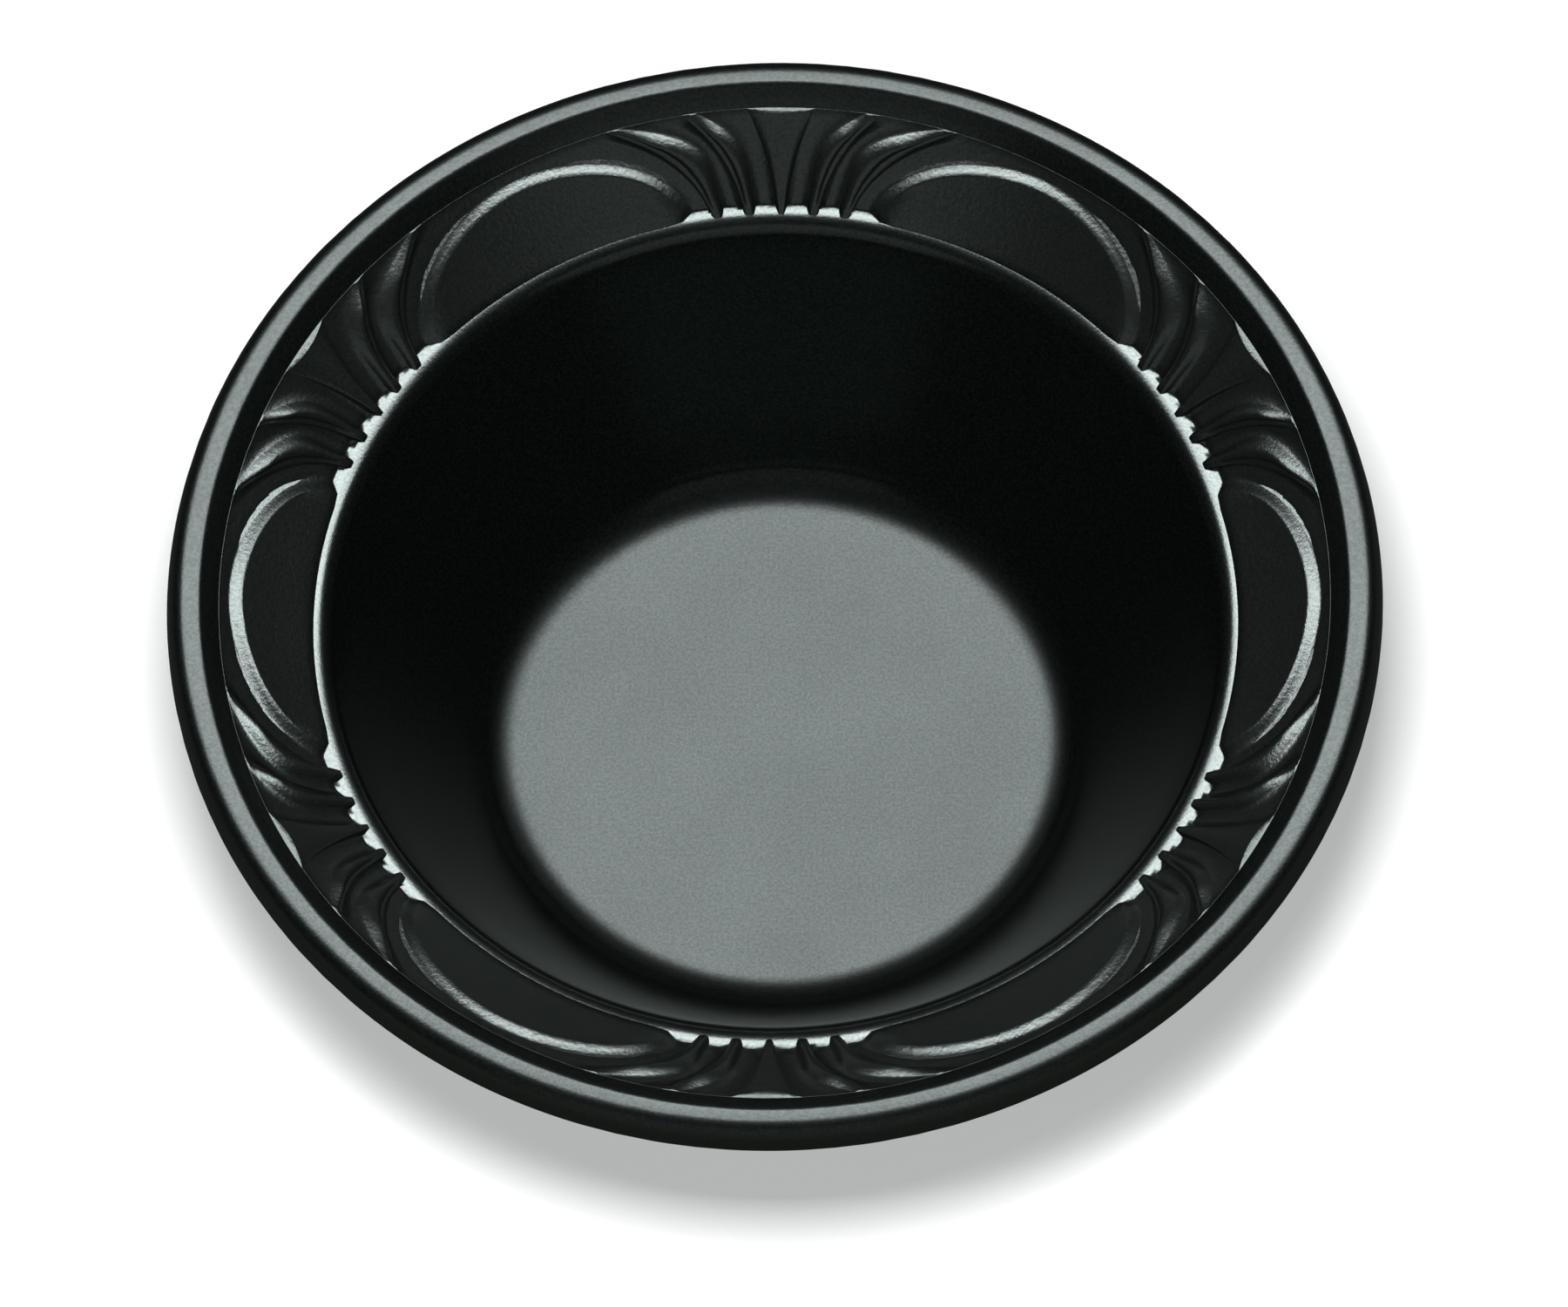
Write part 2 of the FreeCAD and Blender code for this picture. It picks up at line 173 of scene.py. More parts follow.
@dataclass(frozen=True)
class Row:
    """One ring of a turned layer.

    Its climb is 0 at the ledge and 1 at the step, and its lift is the share of the embossing
    that it takes. A row of the shoulder stays behind the embossing's foot by its gap.
    """

    radius: float
    level: float
    climb: float = 0.0
    lift: float = 0.0
    gap: Optional[float] = None


def arc_rows(centre: tuple[float, float], radius: float, first: float, turned: float,
             flats: int, climb: float = 0.0) -> list[Row]:
    """Rows along a round bend of the section.

    Args:
        centre: Radius and level of the bend's centre.
        radius: Radius of the bend.
        first: Angle of its first point, 0 outwards and 90 up.
        turned: Angle that it turns through.
        flats: Number of steps.
        climb: Share of the slope that sets the spacing of the columns.

    Returns:
        The rows, both ends included.
    """
    rows = []
    for step in range(flats + 1):
        angle = rad(first + turned * step / flats)
        rows.append(Row(centre[0] + radius * math.cos(angle),
                        centre[1] + radius * math.sin(angle), climb))
    return rows


def straight_rows(start: Row, end: Row, shares: Sequence[float]) -> list[Row]:
    """Rows on the straight line between two rows.

    Args:
        start: The row at share 0.
        end: The row at share 1.
        shares: Where the rows lie.

    Returns:
        The rows.
    """
    return [Row(start.radius + (end.radius - start.radius) * share,
                start.level + (end.level - start.level) * share,
                start.climb + (end.climb - start.climb) * share,
                start.lift + (end.lift - start.lift) * share) for share in shares]


# ---------------------------------------------------------------- embossing
@dataclass(frozen=True)
class Leaf:
    """One raised leaf of a fan: angles of its outer foot, and what it gains at its widest."""

    root: float
    tip: float
    swell: float


def even(count: int) -> tuple[float, ...]:
    """Even shares up to 1."""
    return tuple((number + 1) / count for number in range(count))


def eased(share: np.ndarray) -> np.ndarray:
    """Share from 0 to 1 that starts and ends gently."""
    share = np.clip(share, 0, 1)
    return share * share * (3 - 2 * share)


@dataclass(frozen=True)
class Embossing:
    """The pattern on the slope, as angles from the middle of the nearest fan."""

    fan_count: int = 6
    wedge_root: float = 0.3
    wedge_tip: float = 3.3
    wedge_side: float = 0.45
    wedge_fall: float = 0.37
    leaves: tuple[Leaf, Leaf] = (Leaf(4.8, 10.6, 1.6), Leaf(8.8, 19.0, 3.3))
    leaf_end: float = 1.65
    leaf_shares: tuple[float, ...] = (0.06, 0.15, 0.26, 0.36, 0.46, 0.57, 0.66, 0.70, 0.78,
                                      0.90, 0.95, 1.0)
    leaf_heights: tuple[float, ...] = (0.30, 0.68, 0.93, 1.0, 0.97, 0.82, 0.44, 0.36, 0.36,
                                       0.36, 0.20, 0.0)
    root_heights: tuple[float, ...] = (0.45, 0.85, 1.0, 1.0, 1.0, 1.0, 1.0, 1.0, 1.0,
                                       0.80, 0.50, 0.0)
    root_climb: float = 0.30
    leaf_fade: tuple[float, float] = (0.80, 0.85)
    bow: float = 0.4
    swell_skew: float = 1.8
    arch_root: float = 10.4
    arch_roll: float = 3.0
    arch_rise: float = 0.96
    arch_roll_rise: float = 0.2
    arch_power: float = 1.8
    arch_gain: float = -0.10
    arch_spread: float = 5.0
    arch_facet: tuple[float, float] = (0.40, 0.09)
    arch_groove: float = 0.06
    arch_marks: tuple[float, ...] = (0.0, 0.32, 0.68)
    halvings: int = 24

    @property
    def half_sector(self) -> float:
        """Angle from the middle of a fan to the middle of a panel."""
        return 180.0 / self.fan_count

    @property
    def columns_each(self) -> int:
        """Columns in half a sector."""
        return sum(len(strip) for strip in self.strips)

    @property
    def strips(self) -> tuple[tuple[float, ...], ...]:
        """Where the columns lie between each two lines of the pattern, as shares."""
        return (even(3), even(3), even(2), self.leaf_shares, even(2), self.leaf_shares,
                even(4), even(3), even(6), even(9))

    def bowed(self, root: float, tip: float, climb: np.ndarray) -> np.ndarray:
        """Angle of a line that leaves the ledge steeply and leans over higher up."""
        return root + (tip - root) * (self.bow * climb + (1 - self.bow) * climb ** 2)

    def leaf_feet(self, leaf: Leaf, climb: np.ndarray) -> tuple[np.ndarray, np.ndarray]:
        """Angles of a leaf's feet.

        Args:
            leaf: The leaf.
            climb: Share of the slope of each point.

        Returns:
            Angles of its inner and of its outer foot.
        """
        outer = self.bowed(leaf.root, leaf.tip, climb)
        width = self.leaf_end + leaf.swell * np.sin(math.pi * climb ** self.swell_skew)
        return outer - width, outer

    def arch_line(self, inward: float, climb: np.ndarray) -> np.ndarray:
        """Angle of a line along the panel's roll, kept off the panel's middle near its top.

        Args:
            inward: Where the line lies, 0 at the roll's outer foot and 1 on the panel.
            climb: Share of the slope of each point.

        Returns:
            Angles from the middle of the fan.
        """
        share = np.clip(climb / (self.arch_rise - inward * self.arch_roll_rise), 0, 1)
        reach = self.half_sector - self.arch_root - inward * self.arch_roll
        reach = reach * (1 - share ** self.arch_power) ** (1 / self.arch_power)
        return self.half_sector - np.maximum(reach, self.arch_spread * (1 - inward / 2))

    def lines(self, climb: np.ndarray) -> list[np.ndarray]:
        """Angles of the pattern's lines.

        Args:
            climb: Share of the slope of each point.

        Returns:
            Angles of each line, from the middle of a fan to the middle of a panel.
        """
        wedge = self.bowed(self.wedge_root, self.wedge_tip, climb)
        found = [np.zeros_like(climb), wedge, wedge + self.wedge_side]
        for leaf in self.leaves:
            found.extend(self.leaf_feet(leaf, climb))
        for inward in self.arch_marks:
            found.append(np.maximum(self.arch_line(inward, climb),
                                    found[-1] + self.wedge_side))
        found.append(np.full_like(climb, self.half_sector))
        return found

    def column_angle(self, column: np.ndarray, climb: np.ndarray) -> np.ndarray:
        """Angle of a column, which runs along the lines of the pattern.

        Args:
            column: Number of each column, 0 in the middle of a fan.
            climb: Share of the slope of each point.

        Returns:
            Angles from the middle of the fan.
        """
        marks = self.lines(climb)
        angle = np.zeros_like(climb)
        first = 0
        for number, strip in enumerate(self.strips):
            share = np.interp(column - first, range(len(strip) + 1), (0.0, *strip))
            angle += share * (marks[number + 1] - marks[number])
            first += len(strip)
        return angle

    def leaf_lift(self, share: np.ndarray, climb: np.ndarray) -> np.ndarray:
        """Height of a leaf across its width: a slow rise, a round brow, a narrow land, a drop.

        Args:
            share: Share of the leaf's width, 0 at its inner foot.
            climb: Share of the slope of each point.

        Returns:
            Heights, lower near the step, where the leaf runs out.
        """
        start, amount = self.leaf_fade
        shares = (0.0, *self.leaf_shares)
        root = np.interp(share, shares, (0.0, *self.root_heights))
        blade = np.interp(share, shares, (0.0, *self.leaf_heights))
        across = root + (blade - root) * eased(climb / self.root_climb)
        return across * (1 - amount * eased((climb - start) / (1 - start)))

    def wedge_lift(self, angle: np.ndarray, climb: np.ndarray) -> np.ndarray:
        """Height of the wedge: level low down, and lower and domed towards the step.

        Args:
            angle: Angle of each point from the middle of its fan.
            climb: Share of the slope of each point.

        Returns:
            Heights, 0 beside the wedge.
        """
        edge = self.bowed(self.wedge_root, self.wedge_tip, climb)
        side = eased((angle - edge) / self.wedge_side)
        dome = 1 - climb * np.clip(angle / (edge + self.wedge_side), 0, 1) ** 2
        return (1 - self.wedge_fall * climb) * dome * (1 - side)

    def arch_lift(self, angle: np.ndarray, climb: np.ndarray) -> np.ndarray:
        """Height of the panel: a faint groove at its foot, a rise, and the panel itself.

        Args:
            angle: Angle of each point from the middle of its fan.
            climb: Share of the slope of each point.

        Returns:
            Heights, below 0 in the groove.
        """
        low = np.zeros_like(angle)
        high = np.ones_like(angle)
        sideways = np.maximum(self.half_sector - angle, 0)
        for _ in range(self.halvings):
            middle = (low + high) / 2
            reach = self.half_sector - self.arch_root - middle * self.arch_roll
            rise = self.arch_rise - middle * self.arch_roll_rise
            inside = ((sideways / reach) ** self.arch_power
                      + (climb / rise) ** self.arch_power) < 1
            low = np.where(inside, middle, low)
            high = np.where(inside, high, middle)
        settled = eased(2 * climb)
        soft, crisp = self.arch_facet
        half = soft + (crisp - soft) * settled
        rise = eased((low - 0.5) / (2 * half) + 0.5)
        groove = self.arch_groove * settled * np.clip(low / (0.5 - half), 0, 1) * (1 - rise)
        return rise * (1 + self.arch_gain * settled) - groove

    def lift(self, angle: np.ndarray, climb: np.ndarray) -> np.ndarray:
        """Height of the embossing as a share of the full height.

        Args:
            angle: Angle of each point from the middle of its fan.
            climb: Share of the slope of each point.

        Returns:
            Heights from 0 in the flutes to 1.
        """
        marks = self.lines(climb)
        height = self.wedge_lift(angle, climb)
        for inner, outer in ((marks[3], marks[4]), (marks[5], marks[6])):
            share = (angle - inner) / (outer - inner)
            height = np.maximum(height, self.leaf_lift(share, climb))
        panel = self.arch_lift(angle, climb)
        return np.maximum(height, panel) + np.minimum(panel, 0)


# ---------------------------------------------------------------- turned layers
@dataclass
class TurnedLayer:
    """A closed layer of the sheet, turned round the axis from the rows of its section."""

    name: str
    sizes: SheetSizes
    embossing: Embossing
    rows: list[Row] = field(default_factory=list)
    sharp_angle: float = 40.0

    def spun_mesh(self) -> bpy.types.Object:
        """Draws the section point by point and spins it once round.

        Returns:
            The new object, its seam and poles closed and its faces outwards.
        """
        bpy.ops.object.select_all(action="DESELECT")
        bpy.ops.mesh.primitive_plane_add(size=MM)
        piece = bpy.context.object
        piece.name = self.name
        bpy.ops.object.mode_set(mode="EDIT")
        bpy.ops.mesh.select_all(action="SELECT")
        bpy.ops.mesh.merge(type="CENTER")
        here = Vector((0.0, 0.0, 0.0))
        for number, row in enumerate(self.rows):
            there = Vector((row.radius, 0.0, row.level)) * MM
            if number == 0:
                bpy.ops.transform.translate(value=there - here)
            else:
                bpy.ops.mesh.extrude_region_move(
                    TRANSFORM_OT_translate={"value": there - here})
            here = there
        bpy.ops.mesh.select_all(action="SELECT")
        steps = 2 * self.embossing.fan_count * self.embossing.columns_each
        bpy.ops.mesh.spin(steps=steps, angle=2 * math.pi, center=(0, 0, 0), axis=(0, 0, 1))
        bpy.ops.mesh.select_all(action="SELECT")
        bpy.ops.mesh.remove_doubles(threshold=WELD)
        bpy.ops.mesh.normals_make_consistent(inside=False)
        bpy.ops.object.mode_set(mode="OBJECT")
        return piece

    def nearest_rows(self, radius: np.ndarray, level: np.ndarray) -> np.ndarray:
        """Number of the row that each point of the spun mesh belongs to.

        Args:
            radius: Radius of each point.
            level: Level of each point.

        Returns:
            Numbers of the rows.
        """
        rows_radius = np.array([ring.radius for ring in self.rows])
        rows_level = np.array([ring.level for ring in self.rows])
        gap = (radius[:, None] - rows_radius) ** 2 + (level[:, None] - rows_level) ** 2
        return gap.argmin(axis=1)

    def finish(self, piece: bpy.types.Object) -> None:
        """Shades a piece smooth, apart from its sharp edges.

        Args:
            piece: The piece.
        """
        bpy.ops.object.select_all(action="DESELECT")
        piece.select_set(True)
        bpy.context.view_layer.objects.active = piece
        bpy.ops.object.shade_smooth_by_angle(angle=rad(self.sharp_angle))


@dataclass
class FilmLining(TurnedLayer):
    """The film bonded to the food side, with the whole embossing in it."""

    slope_parts: tuple[tuple[float, int], ...] = ((0.78, 28), (0.91, 13), (1.0, 4))
    edge_round: float = 0.10
    step_margin: float = 0.002
    row_gap: float = 0.01
    floor_shares: tuple[float, ...] = (0.0, 0.25, 0.5, 0.75, 0.92)
    wall_shares: tuple[float, ...] = (0.12, 0.35, 0.6, 0.85)
    band_shares: tuple[float, ...] = (0.0, 0.01, 0.5, 0.92)
    lip_shares: tuple[float, ...] = (0.5, 0.9)
    floor_bend_flats: int = 12
    shoulder_flats: int = 9
    crown_flats: tuple[int, int] = (7, 14)
    bonded_floor_bend_flats: int = 6
    bonded_shoulder_flats: int = 4
    bonded_crown_flats: tuple[int, int] = (4, 7)
    sharp_angle: float = 110.0

    def food_rows(self) -> list[Row]:
        """Rows of the food side.

        Returns:
            The rows, from the middle of the floor to the cut edge of the lip.
        """
        s = self.sizes
        floor = Row(0.0, s.sheet)
        edge = Row(s.floor_edge, s.sheet)
        rows = straight_rows(floor, edge, self.floor_shares)
        rows += arc_rows((s.floor_edge, s.sheet + s.floor_bend_radius), s.floor_bend_radius,
                         -90, s.wall_angle, self.floor_bend_flats)
        shoulder = arc_rows((s.shoulder_centre, s.ledge_level - s.shoulder_radius),
                            s.shoulder_radius, 90 + s.wall_angle, -s.wall_angle,
                            self.shoulder_flats)
        rows += straight_rows(rows[-1], shoulder[0], self.wall_shares)
        rows += [replace(row, gap=self.row_gap * (len(shoulder) - number))
                 for number, row in enumerate(shoulder)]
        rows += self.slope_part()
        crown = self.crown_rows(0.0, self.crown_flats)
        band_foot = Row(s.band_foot, s.step_level, 1.0)
        rows += straight_rows(band_foot, crown[0], self.band_shares)
        rows += crown
        cut = self.cut_corner(0.0)
        rows += straight_rows(crown[-1], cut, self.lip_shares)
        rows.append(Row(cut.radius, cut.level, 1.0))
        return rows

    def crown_rows(self, depth: float, flats: tuple[int, int]) -> list[Row]:
        """Rows over the crown at a depth in the sheet, from the band to the lip.

        Args:
            depth: How far under the food side the rows lie.
            flats: Number of steps in the inner and in the outer bend.

        Returns:
            The rows, both ends included.
        """
        s = self.sizes
        inner = arc_rows((s.crown_inner, s.top_level - s.crown_inner_radius),
                         s.crown_inner_radius - depth, 90 + s.band_angle, -s.band_angle,
                         flats[0], 1.0)
        outer = arc_rows((s.crown_outer, s.top_level - s.crown_outer_radius),
                         s.crown_outer_radius - depth, 90, -s.lip_angle, flats[1], 1.0)
        return inner + straight_rows(inner[-1], outer[0], (0.5,)) + outer

    def slope_part(self) -> list[Row]:
        """Rows of the embossed slope.

        Returns:
            The rows, from the toothed outline on the ledge to the one on the step.
        """
        s = self.sizes
        soft = self.edge_round
        run = soft * math.cos(rad(s.slope_angle)) / s.slope_run
        rows = [Row(s.flute_radius - soft, s.ledge_level, 0.0, 1 - soft / s.relief_shift, 0.0)]
        climbs = [0.0]
        for end, steps in self.slope_parts:
            start = climbs[-1]
            climbs += [start + (end - start) * share for share in even(steps)]
        for share in climbs:
            climb = run + (1 - run - self.step_margin) * share
            rows.append(Row(s.flute_radius + climb * s.slope_run,
                            s.ledge_level + climb * s.slope_drop, climb, 1.0))
        rows.append(Row(s.step_radius, s.step_level, 1.0, 1.0))
        rows.append(Row(s.step_radius + s.step_land / 2, s.step_level, 1.0, 0.0))
        return rows

    def cut_corner(self, depth: float) -> Row:
        """Corner of the lip's cut edge at a depth in the sheet."""
        s = self.sizes
        return Row(s.rim_radius - depth * math.sin(rad(s.lip_angle)),
                   s.lip_level - depth * math.cos(rad(s.lip_angle)), 1.0)

    def bonded_rows(self) -> list[Row]:
        """Rows of the bonded side.

        Returns:
            The rows, from the lip back to the middle of the floor.
        """
        s = self.sizes
        film = s.film_thickness
        rows = [self.cut_corner(film)]
        rows += reversed(self.crown_rows(film, self.bonded_crown_flats))
        foot = s.band_foot + film * math.tan(rad(s.band_angle / 2))
        rows.append(Row(foot, s.step_level - film, 1.0))
        bend = film * math.tan(rad(s.slope_angle / 2))
        rows.append(Row(s.step_radius + bend, s.step_level - film, 1.0))
        rows.append(Row(s.flute_radius + bend, s.ledge_level - film, 0.0))
        rows += arc_rows((s.shoulder_centre, s.ledge_level - s.shoulder_radius),
                         s.shoulder_radius - film, 90, s.wall_angle,
                         self.bonded_shoulder_flats)
        rows += arc_rows((s.floor_edge, s.sheet + s.floor_bend_radius),
                         s.floor_bend_radius + film, s.wall_angle - 90, -s.wall_angle,
                         self.bonded_floor_bend_flats)
        rows.append(Row(0.0, s.foam_thickness))
        return rows

    def emboss(self, piece: bpy.types.Object) -> None:
        """Moves the points of the mesh to the lines and the height of the embossing.

        Args:
            piece: The spun lining.
        """
        pattern = self.embossing
        count = len(piece.data.vertices)
        flat = np.empty(count * 3)
        piece.data.vertices.foreach_get("co", flat)
        places = flat.reshape(-1, 3) / MM
        radius = np.hypot(places[:, 0], places[:, 1])
        row = self.nearest_rows(radius, places[:, 2])
        climb = np.array([ring.climb for ring in self.rows])[row]
        weight = np.array([ring.lift for ring in self.rows])[row]
        steps = 2 * pattern.fan_count * pattern.columns_each
        turn = np.degrees(np.arctan2(places[:, 1], places[:, 0]))
        column = np.rint(turn * steps / 360).astype(int) % steps
        sector, within = np.divmod(column, 2 * pattern.columns_each)
        from_fan = within - pattern.columns_each
        angle = pattern.column_angle(np.abs(from_fan).astype(float), climb)
        lift = pattern.lift(angle, climb) * weight
        middle = (2 * sector + 1) * pattern.half_sector
        turned = np.radians(middle + np.sign(from_fan) * angle)
        radius = radius - lift * self.sizes.relief_shift
        gap = np.array([np.nan if ring.gap is None else ring.gap for ring in self.rows])[row]
        radius, level = self.on_shoulder(radius, places[:, 2], gap, column)
        places[:, 0] = radius * np.cos(turned)
        places[:, 1] = radius * np.sin(turned)
        places[:, 2] = level
        piece.data.vertices.foreach_set("co", (places * MM).ravel())
        piece.data.update()

    def on_shoulder(self, radius: np.ndarray, level: np.ndarray, gap: np.ndarray,
                    column: np.ndarray) -> tuple[np.ndarray, np.ndarray]:
        """Keeps the shoulder's rows and the embossing's foot on the round of the shoulder.

        Args:
            radius: Radius of each point.
            level: Level of each point.
            gap: Least distance behind the embossing's foot, or nan off the shoulder.
            column: Number of the column of each point.

        Returns:
            Radius and level of each point.
        """
        s = self.sizes
        pattern = self.embossing
        within = np.mod(column, 2 * pattern.columns_each) - pattern.columns_each
        ledge = np.zeros(len(radius))
        angle = pattern.column_angle(np.abs(within).astype(float), ledge)
        foot = (s.flute_radius - self.edge_round
                - pattern.lift(angle, ledge) * (s.relief_shift - self.edge_round))
        held = ~np.isnan(gap)
        radius = np.where(held, np.minimum(radius, foot - gap), radius)
        inside = np.clip(s.shoulder_centre - radius, 0, s.shoulder_radius)
        drop = s.shoulder_radius - np.sqrt(s.shoulder_radius ** 2 - inside ** 2)
        return radius, np.where(held, s.ledge_level - drop, level)

    def build(self) -> bpy.types.Object:
        """Makes the lining's mesh.

        Returns:
            The finished piece.
        """
        self.rows = self.food_rows() + self.bonded_rows()
        piece = self.spun_mesh()
        self.emboss(piece)
        self.finish(piece)
        return piece


@dataclass
class FoamBody(TurnedLayer):
    """The pressed foam under the film: everything that shows from outside and below."""

    recess_soft: float = 0.3
    recess_corner: float = 0.04
    foot_rise: float = 0.4
    foot_start: float = 0.8
    wall_flats: int = 12
    ledge_softness: float = 0.8
    heel_softness: float = 1.4
    crown_softness: float = 1.2
    corner_flats: int = 5
    crown_flats: int = 7

    def outer_rows(self) -> list[Row]:
        """Rows of the outer face.

        Returns:
            The rows, from the middle of the base to the inside of the lip.
        """
        s = self.sizes
        recess = s.floor_edge - s.foot_width
        rows = [Row(0.0, s.foot_height), Row(recess / 2, s.foot_height),
                Row(recess - self.recess_soft, s.foot_height),
                Row(recess, s.foot_height - self.recess_corner),
                Row(recess + self.foot_rise, self.recess_corner),
                Row(recess + self.foot_start, 0.0)]
        rows += arc_rows((s.floor_edge, s.sheet + s.floor_bend_radius),
                         s.floor_bend_radius + s.sheet, -90, s.wall_angle, self.wall_flats)
        under_ledge = s.ledge_level - s.sheet
        corner = (s.shoulder_centre
                  + (s.sheet - s.shoulder_radius) * math.tan(rad(s.wall_angle / 2)))
        heel = s.flute_radius + s.sheet * math.tan(rad(s.slope_angle / 2))
        rows += rounded_corner(rows[-1], Row(corner, under_ledge), Row(heel, under_ledge),
                               self.ledge_softness, self.corner_flats)
        lip = self.lip_inner()
        top = self.under_crown()
        rows += rounded_corner(Row(corner, under_ledge), Row(heel, under_ledge), top,
                               self.heel_softness, self.corner_flats)
        rows += rounded_corner(Row(heel, under_ledge), top, lip, self.crown_softness,
                               self.crown_flats)
        rows.append(lip)
        return rows

    def lip_inner(self) -> Row:
        """Inner corner of the lip's cut edge."""
        s = self.sizes
        return Row(s.rim_radius - s.lip_thickness * math.sin(rad(s.lip_angle)),
                   s.lip_level - s.lip_thickness * math.cos(rad(s.lip_angle)))

    def under_crown(self) -> Row:
        """Where the underside of the slope would meet the inside of the lip.

        Returns:
            The sharp corner, before it is rounded.
        """
        s = self.sizes
        lip = self.lip_inner()
        heel = s.flute_radius + s.sheet * math.tan(rad(s.slope_angle / 2))
        length = ((lip.radius - heel) * math.sin(rad(s.lip_angle))
                  + (lip.level - s.ledge_level + s.sheet) * math.cos(rad(s.lip_angle)))
        length /= math.sin(rad(s.lip_angle + s.slope_angle))
        return Row(heel + length * math.cos(rad(s.slope_angle)),
                   s.ledge_level - s.sheet + length * math.sin(rad(s.slope_angle)))

    def build(self, film: FilmLining) -> bpy.types.Object:
        """Makes the foam's mesh, its bonded side the same as the lining's.

        Args:
            film: The lining that covers the food side.

        Returns:
            The finished piece.
        """
        self.rows = self.outer_rows() + film.bonded_rows()
        piece = self.spun_mesh()
        self.finish(piece)
        return piece


def rounded_corner(before: Row, corner: Row, after: Row, reach: float, flats: int) -> list[Row]:
    """Rows that round off a corner of the section.

    Args:
        before: A row on the line that comes to the corner.
        corner: The sharp corner.
        after: A row on the line that leaves it.
        reach: How far from the corner the rounding starts.
        flats: Number of steps.

    Returns:
        Rows from the start to the end of the rounding.
    """
    peak = Vector((corner.radius, corner.level))
    start = peak + (Vector((before.radius, before.level)) - peak).normalized() * reach
    end = peak + (Vector((after.radius, after.level)) - peak).normalized() * reach
    rows = []
    for step in range(flats + 1):
        share = step / flats
        place = start.lerp(peak, share).lerp(peak.lerp(end, share), share)
        rows.append(Row(place.x, place.y, corner.climb))
    return rows


# ---------------------------------------------------------------- finishes
class NodeTree:
    """Short way to write a node tree."""

    def __init__(self, tree: bpy.types.NodeTree) -> None:
        """Starts with an empty tree."""
        self.tree = tree
        self.tree.nodes.clear()

    def add(self, kind: str, values: Optional[dict] = None, **settings: object) -> bpy.types.Node:
        """Adds a node.

        Args:
            kind: Type of the node, without its ShaderNode prefix.
            values: Input sockets by name or number, each with a value or a socket to link.
            **settings: Properties of the node.

        Returns:
            The new node.
        """
        node = self.tree.nodes.new("ShaderNode" + kind)
        for name, value in settings.items():
            setattr(node, name, value)
        for name, value in (values or {}).items():
            if isinstance(value, bpy.types.NodeSocket):
                self.tree.links.new(value, node.inputs[name])
            else:
                node.inputs[name].default_value = value
        return node

    def math(self, operation: str, *values: object) -> bpy.types.NodeSocket:
        """Result of a Math node on numbers or sockets."""
        node = self.add("Math", dict(enumerate(values)), operation=operation)
        return node.outputs[0]

    def ramp(self, value: bpy.types.NodeSocket, low: float, high: float,
             start: float = 0.0, end: float = 1.0) -> bpy.types.NodeSocket:
        """Result of a smooth Map Range node.

        Args:
            value: The socket to map.
            low: Its value at the start.
            high: Its value at the end.
            start: The result at the start.
            end: The result at the end.

        Returns:
            The socket with the result.
        """
        node = self.add("MapRange", {"Value": value, "From Min": low, "From Max": high,
                                     "To Min": start, "To Max": end},
                        interpolation_type="SMOOTHSTEP")
        return node.outputs[0]

    def past(self, value: bpy.types.NodeSocket, place: float,
             span: Span) -> bpy.types.NodeSocket:
        """A share that grows from 0 to 1 over a span about a place, both in millimetres."""
        return self.ramp(value, (place + span[0]) * MM, (place + span[1]) * MM)

    def blend(self, share: object, first: object, second: object) -> bpy.types.NodeSocket:
        """Colour between two colours.

        Args:
            share: 0 for the first colour and 1 for the second.
            first: A colour or a socket.
            second: A colour or a socket.

        Returns:
            The socket with the colour.
        """
        node = self.tree.nodes.new("ShaderNodeMix")
        node.data_type = "RGBA"
        for place, value in ((0, share), (6, first), (7, second)):
            if isinstance(value, bpy.types.NodeSocket):
                self.tree.links.new(value, node.inputs[place])
            else:
                node.inputs[place].default_value = value
        return node.outputs[2]


